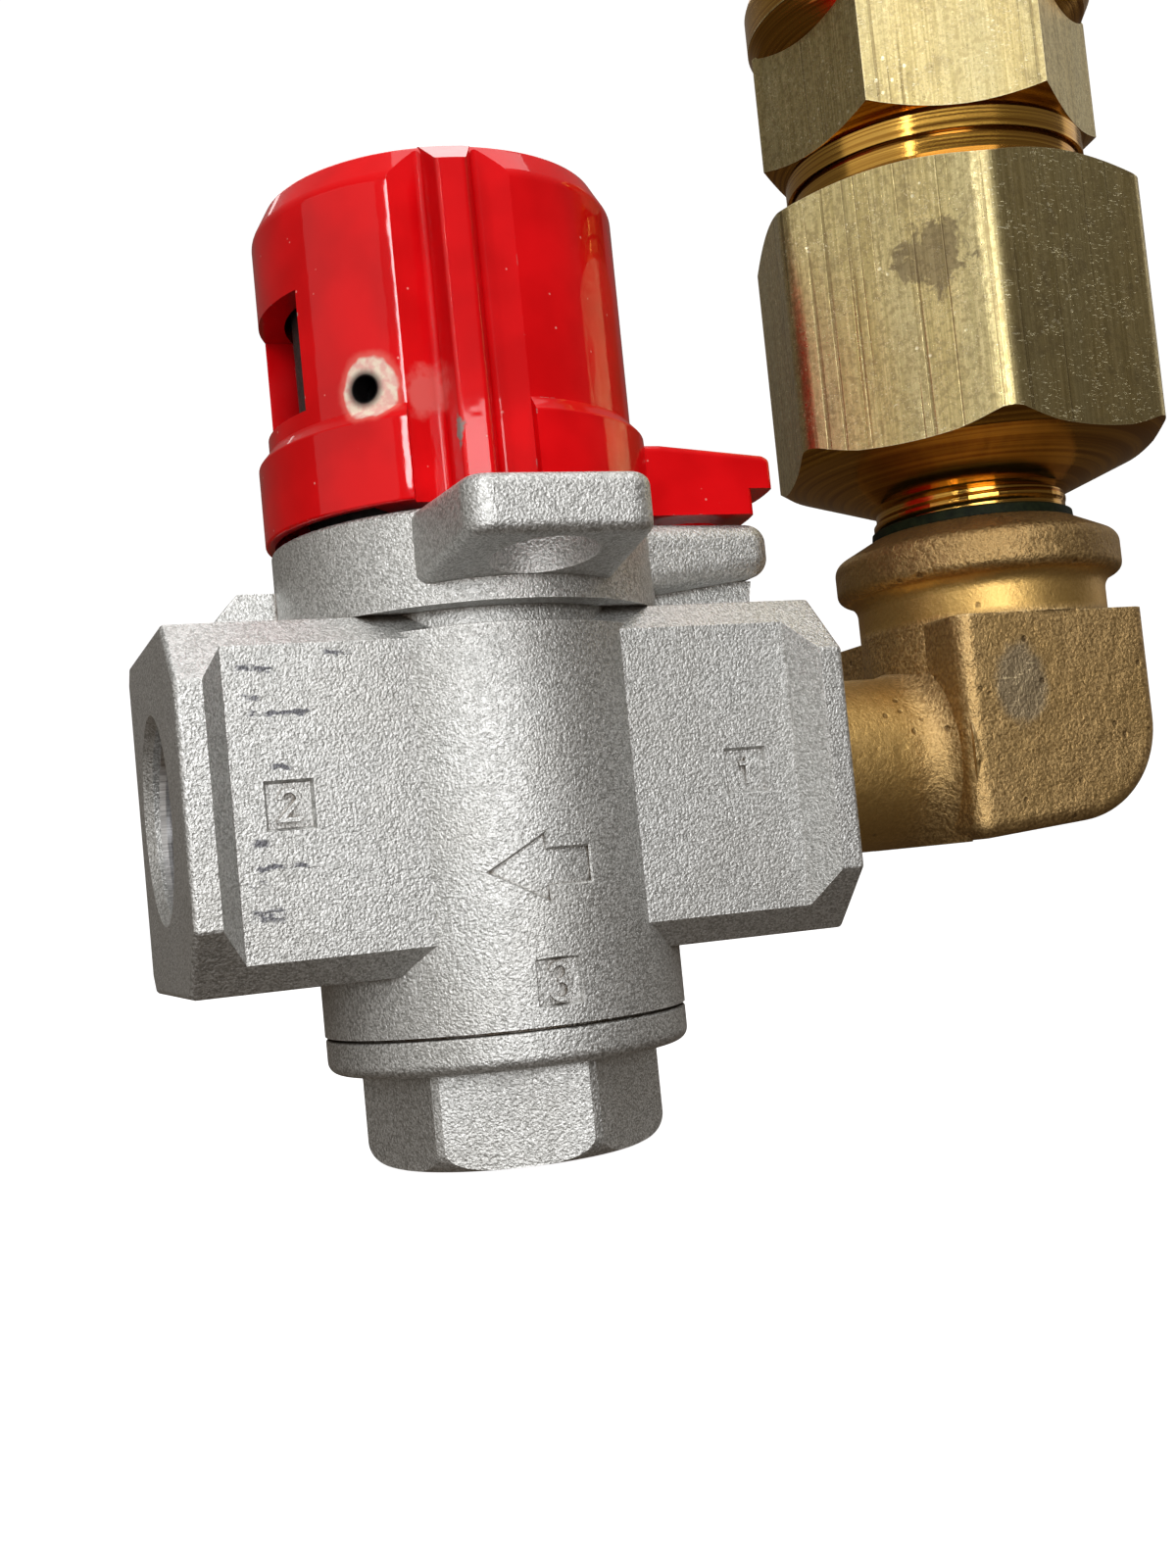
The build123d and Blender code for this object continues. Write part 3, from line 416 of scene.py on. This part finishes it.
def cast_brass():
    """The elbow: rough sand-cast brass, tarnished brown, brighter in the turned groove and on high spots,
    with painted shade in the corners and over the collar.
    """
    g = Graph("cast_brass")
    x, _, z = g.parts()
    lumps = g.noise(0.5, 4.0, 0.6)
    grain = g.noise(2.6, 3.0, 0.65)
    cloud = g.noise(0.11, 4.0, 0.6)
    color = g.tint(g.ramp(grain, 0.34, 0.7), (0.36, 0.225, 0.088), (0.72, 0.50, 0.225))
    color = g.tint(g.ramp(cloud, 0.35, 0.68, 0.0, 0.6), color, (0.46, 0.30, 0.115))
    groove = g.both(g.band(z, *ELBOW_GROOVE_Z, 0.6), g.ramp(g.radius(LEG_MM), *ELBOW_GROOVE_R, 1.0, 0.0))
    neck = g.ramp(g.sum("MULTIPLY_ADD", cloud, 5.0, x), 49.0, 54.0, 1.0, 0.0)
    golden = g.sum("MAXIMUM", groove, g.sum("MULTIPLY", neck, 0.75))
    color = g.tint(g.sum("MULTIPLY", golden, 0.75), color, (0.62, 0.39, 0.115))
    # darker above the groove, over the collar: painted shade
    color = g.tint(g.ramp(z, *ELBOW_COLLAR_Z, 0.0, 0.4), color, (0.20, 0.12, 0.045))
    mark = (LEG_MM - 5.6, ELBOW_LOW.y / MM + 2.6, 7.2)
    ragged = g.sum("MULTIPLY_ADD", g.noise(0.6, 3.0), 2.0, g.distance(mark, (1, 0.3, 0.75)))
    stain = g.ramp(ragged, 3.6, 5.2, 0.75, 0.0)
    color = g.tint(stain, color, (0.33, 0.27, 0.18))
    across = g.stretch((0.35, 1.0, 4.0), g.mm, (0, 4, 0))
    down = g.stretch((4.0, 1.0, 0.35), g.mm, (0, -3, 0))
    rubs = g.sum("MAXIMUM", g.ramp(g.noise(1.0, 2.0, 0.5, across), 0.62, 0.68),
                 g.ramp(g.noise(1.0, 2.0, 0.5, down), 0.64, 0.70))
    rubs = g.both(rubs, g.ramp(g.distance(mark, (1, 0.3, 0.9)), 2.2, 3.8, 1.0, 0.0))
    color = g.tint(g.sum("MULTIPLY", rubs, 0.8), color, (0.86, 0.70, 0.42))
    near = g.cells(0.45)[0]
    pits = g.both(g.ramp(near, 0.10, 0.2, 1.0, 0.0), g.ramp(g.noise(0.2, 2.0), 0.52, 0.6))
    color = g.tint(g.sum("MULTIPLY", pits, 0.6), color, (0.09, 0.05, 0.02))
    high = g.both(g.edges(0.7, 0.02, 0.2), g.ramp(g.noise(0.8, 3.0), 0.35, 0.6))
    color = g.tint(g.sum("MULTIPLY", high, 0.6), color, (0.95, 0.74, 0.40))
    # corner darkening from ambient occlusion: painted shade
    color = g.tint(g.sum("MULTIPLY", g.corners(2.0), 0.7), color, (0.12, 0.07, 0.03))
    rough = g.fade(golden, g.ramp(grain, 0.3, 0.7, 0.40, 0.56), 0.44)
    height = g.sum("MULTIPLY_ADD", lumps, 2.2, g.sum("SUBTRACT", grain, pits))
    height = g.fade(golden, height, g.sum("MULTIPLY", height, 0.3))
    return g.finish(color=color, rough=rough, metal=0.92, normal=g.bump(height, 0.14))


def machined(name, dark, light, rough):
    """Turned metal: fine tool rings along the upright axis."""
    g = Graph(name)
    rings = g.noise(1.0, 3.0, 0.6, g.stretch((0.05, 0.05, 5.0), g.mm))
    spots = g.noise(0.5, 3.0, 0.6)
    color = g.tint(g.ramp(rings, 0.35, 0.65), dark, light)
    color = g.tint(g.ramp(spots, 0.5, 0.75, 0.0, 0.4), color, dark)
    return g.finish(color=color, rough=g.ramp(spots, 0.3, 0.7, rough, rough + 0.15), metal=1.0,
                    normal=g.bump(rings, 0.01))


def moulded(name, dark, light, rough, specular=0.5):
    """Plastic, rubber or hardened sealant: a faint mottle and a dull skin."""
    g = Graph(name)
    mottle = g.noise(0.8, 4.0, 0.6)
    skin = g.noise(4.0, 2.0, 0.5)
    color = g.tint(g.ramp(mottle, 0.35, 0.65), dark, light)
    return g.finish(color=color, rough=g.ramp(skin, 0.3, 0.7, rough - 0.08, rough + 0.08), metal=0.0,
                    normal=g.bump(g.sum("MULTIPLY_ADD", skin, 0.4, mottle), 0.03), specular=specular)


def facet_point(direction, along, height):
    """A point on one flat of the adapter: direction of the flat from the front, distance along it."""
    angle = math.radians(direction)
    x = LEG_MM + ADAPTER_FLAT * math.sin(angle) + along * math.cos(angle)
    y = -ADAPTER_FLAT * math.cos(angle) + along * math.sin(angle)
    return x, y, height


SLOT_MATERIALS = {
    "grey_paint": grey_paint(),
    "red_paint": red_paint(),
    "black_plastic": moulded("black_plastic", (0.012, 0.012, 0.012), (0.03, 0.03, 0.03), 0.5),
    "rubber": moulded("black_rubber", (0.01, 0.01, 0.01), (0.025, 0.025, 0.025), 0.7),
    "aluminium": machined("bare_aluminium", (0.45, 0.45, 0.46), (0.72, 0.72, 0.73), 0.3),
    "steel": machined("plated_steel", (0.38, 0.38, 0.38), (0.62, 0.61, 0.59), 0.28),
    "nylon": moulded("white_nylon", (0.70, 0.69, 0.64), (0.80, 0.79, 0.75), 0.5),
    "cast_brass": cast_brass(),
    "brass": drawn_brass("turned_brass", 0.0, 0.1, 60.0),
    "sealant": moulded("green_sealant", (0.004, 0.007, 0.003), (0.012, 0.018, 0.007), 0.6, 0.12),
}
NODE_MATERIALS = {
    "adapter_body": drawn_brass("adapter_brass", ADAPTER_LOW.z / MM + 17.0, ADAPTER_LOW.z / MM + 55.2, 20.5,
                                facet_point(STAIN_TURN, STAIN_ALONG, STAIN_Z)),
    "knob_set_screw": moulded("blackened_steel", (0.004, 0.004, 0.004), (0.010, 0.010, 0.009), 0.6, 0.1),
    "compression_nut": drawn_brass("nut_brass", NUT_LOW.z / MM, NUT_HIGH.z / MM - 7.5, 17.5),
}


def dress():
    """Give every CAD node its slot's finish."""
    slots = {part["node"]: part["material_slot"] for part in frame["record"]["subparts"]}
    for name, node in nodes.items():
        material = NODE_MATERIALS.get(name, SLOT_MATERIALS[slots[name]])
        node.data.materials.clear()
        node.data.materials.append(material)


# ---- screw threads -----------------------------------------------------------------------------
def thread(name, root, crest, pitch, length):
    """A helical ridge along +Z from z = 0: a trapezoid section that fades in and out at its ends."""
    steps = THREAD_STEPS
    turns = length / pitch - 1.0
    total = round(turns * steps)
    wide, narrow = pitch * ROOT_HALF, pitch * CREST_HALF
    mesh = bmesh.new()
    previous = None
    for step in range(total + 1):
        angle = 2 * math.pi * step / steps
        height = pitch * (step / steps + 0.5)
        fade = min(1.0, step / (steps / 3), (total - step) / (steps / 3))
        top = root + (crest - root) * max(fade, 0.02)
        section = ((root, -wide), (top, -narrow), (top, narrow), (root, wide))
        ring = [mesh.verts.new((r * math.cos(angle), r * math.sin(angle), height + h)) for r, h in section]
        if previous:
            for side in range(4):
                after = (side + 1) % 4
                mesh.faces.new((previous[side], previous[after], ring[after], ring[side]))
        else:
            mesh.faces.new(ring)
        previous = ring
    mesh.faces.new(reversed(previous))
    bmesh.ops.recalc_face_normals(mesh, faces=mesh.faces)
    data = bpy.data.meshes.new(name)
    mesh.to_mesh(data)
    mesh.free()
    piece = bpy.data.objects.new(name, data)
    bpy.context.scene.collection.objects.link(piece)
    return piece


def put(piece, start, direction, slot):
    """Stand a piece at a point, with its +Z along a direction, on the fixed body."""
    turn = Vector((0, 0, 1)).rotation_difference(Vector(direction)).to_matrix().to_4x4()
    piece.data.transform(Matrix.Translation(start) @ turn)
    piece.data.materials.append(SLOT_MATERIALS[slot])
    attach(piece, "root")


def port_threads():
    """Female threads in the two open ports, and the male thread's last turn under the adapter."""
    sunk = 0.05 * MM
    wall = MOUNTS["port_2"]["dims"]["r_mm"] * MM
    put(thread("port_2_thread", wall + sunk, wall - 0.62 * MM, 1.814 * MM, 14.0 * MM),
        (BODY_LOW.x + 0.9 * MM, 0, 0), (1, 0, 0), "aluminium")
    put(thread("adapter_thread", 11.3 * MM, 11.8 * MM, 1.81 * MM, 3.7 * MM),
        (LEG_X, 0, ADAPTER_LOW.z + 13.7 * MM), (0, 0, 1), "brass")
    wall = MOUNTS["port_3"]["dims"]["r_mm"] * MM
    put(thread("port_3_thread", wall + sunk, wall - 0.45 * MM, 1.337 * MM, 10.8 * MM),
        (0, 0, CAP_LOW.z + 0.1 * MM), (0, 0, 1), "aluminium")


# ---- studio ------------------------------------------------------------------------------------
def camera():
    """The camera: turned right of +Y, tilted up, and rolled about its line of sight, in degrees."""
    data = bpy.data.cameras.new("camera")
    data.sensor_fit = "HORIZONTAL"
    data.sensor_width = 36.0
    data.lens = CAMERA_LENS
    data.clip_start = 0.01
    eye = bpy.data.objects.new("camera", data)
    bpy.context.scene.collection.objects.link(eye)
    turn, rise, roll = math.radians(CAMERA_TURN), math.radians(CAMERA_RISE), math.radians(CAMERA_ROLL)
    ahead = Vector((math.sin(turn), math.cos(turn), 0))
    right = Vector((math.cos(turn), -math.sin(turn), 0))
    up = Vector((0, 0, 1))
    look = ahead * math.cos(rise) + up * math.sin(rise)
    tall = up * math.cos(rise) - ahead * math.sin(rise)
    wide = right * math.cos(roll) + tall * math.sin(roll)
    tall = tall * math.cos(roll) - right * math.sin(roll)
    basis = Matrix((wide, tall, -look)).transposed().to_4x4()
    eye.matrix_world = Matrix.Translation(CAMERA_PLACE) @ basis
    bpy.context.scene.camera = eye


def softbox(name, turn, rise, distance, size, glow, color=(1, 1, 1)):
    """An area light aimed at the valve: turn right of the front and rise above level in degrees, and glow,
    which is its radiance."""
    aim = Vector((0.025, 0, 0.025))
    turn, rise = math.radians(turn), math.radians(rise)
    out = Vector((math.sin(turn) * math.cos(rise), -math.cos(turn) * math.cos(rise), math.sin(rise)))
    data = bpy.data.lights.new(name, "AREA")
    data.shape = "RECTANGLE"
    data.size, data.size_y = size
    data.energy = 4.0 * glow * size[0] * size[1]
    data.color = color
    light = bpy.data.objects.new(name, data)
    bpy.context.scene.collection.objects.link(light)
    facing = (-out).to_track_quat("-Z", "Y").to_matrix().to_4x4()
    light.matrix_world = Matrix.Translation(aim + out * distance) @ facing
    light.visible_camera = False
    return light


def floor():
    """A pale sweep: level under the valve, curving up behind it on every side."""
    level = cad_box[0][2] - 0.0002
    flat, bend, steps, sides = 0.9, 0.5, 12, 64
    profile = [(0.0, level), (flat, level)]
    for step in range(1, steps + 1):
        angle = math.pi / 2 * step / steps
        profile.append((flat + bend * math.sin(angle), level + bend * (1 - math.cos(angle))))
    profile.append((flat + bend, level + 2.2))
    mesh = bmesh.new()
    hub = mesh.verts.new((0, 0, level))
    rings = []
    for radius, height in profile[1:]:
        angles = [2 * math.pi * side / sides for side in range(sides)]
        rings.append([mesh.verts.new((radius * math.cos(a), radius * math.sin(a), height)) for a in angles])
    for side in range(sides):
        after = (side + 1) % sides
        mesh.faces.new((hub, rings[0][side], rings[0][after]))
        for low, high in zip(rings, rings[1:]):
            mesh.faces.new((low[side], high[side], high[after], low[after]))
    for face in mesh.faces:
        face.smooth = True
    data = bpy.data.meshes.new("floor")
    mesh.to_mesh(data)
    mesh.free()
    sweep = bpy.data.objects.new("floor", data)
    bpy.context.scene.collection.objects.link(sweep)
    sweep.visible_glossy = False
    sweep.visible_diffuse = False
    sweep.visible_shadow = False
    g = Graph("pale_paper")
    tone = g.noise(0.02, 3.0, 0.5)
    color = g.tint(tone, (0.48, 0.48, 0.48), (0.52, 0.52, 0.52))
    data.materials.append(g.finish(color=color, rough=0.9))
    g.shader.inputs["Emission Color"].default_value = (1.0, 1.0, 1.0, 1.0)
    g.shader.inputs["Emission Strength"].default_value = 0.95


def room():
    """The dim, warm room that the studio lights stand in: darker below than above."""
    world = bpy.data.worlds.new("room")
    world.use_nodes = True
    tree = world.node_tree
    height = tree.nodes.new("ShaderNodeSeparateXYZ")
    tree.links.new(tree.nodes.new("ShaderNodeTexCoord").outputs["Generated"], height.inputs[0])
    ramp = tree.nodes.new("ShaderNodeValToRGB")
    tree.links.new(height.outputs["Z"], ramp.inputs[0])
    ramp.color_ramp.elements[0].color = (0.060, 0.042, 0.026, 1.0)
    ramp.color_ramp.elements[1].color = (0.30, 0.29, 0.27, 1.0)
    background = tree.nodes["Background"]
    tree.links.new(ramp.outputs[0], background.inputs["Color"])
    background.inputs["Strength"].default_value = 1.0
    bpy.context.scene.world = world


def studio():
    """A soft key near the camera, a tall strip and dim walls for the brass and enamel to reflect."""
    bpy.context.scene.view_settings.view_transform = "Standard"
    room()
    softbox("key", -14, 4, 0.70, (0.34, 0.30), 6.2)
    softbox("high", -8, 46, 0.80, (0.80, 0.42), 1.8)
    softbox("strip", -46, 22, 0.75, (0.020, 0.24), 20.0)
    softbox("left_wall", -76, 4, 0.85, (0.80, 0.95), 0.42, (1.0, 0.98, 0.94))
    softbox("right_wall", 98, 16, 0.85, (0.30, 0.75), 0.5, (1.0, 0.97, 0.92))
    softbox("top", 60, 82, 0.80, (0.55, 0.55), 1.6)
    softbox("back", 172, 48, 0.85, (0.50, 0.40), 1.8)


dress()
port_threads()
camera()
floor()
studio()
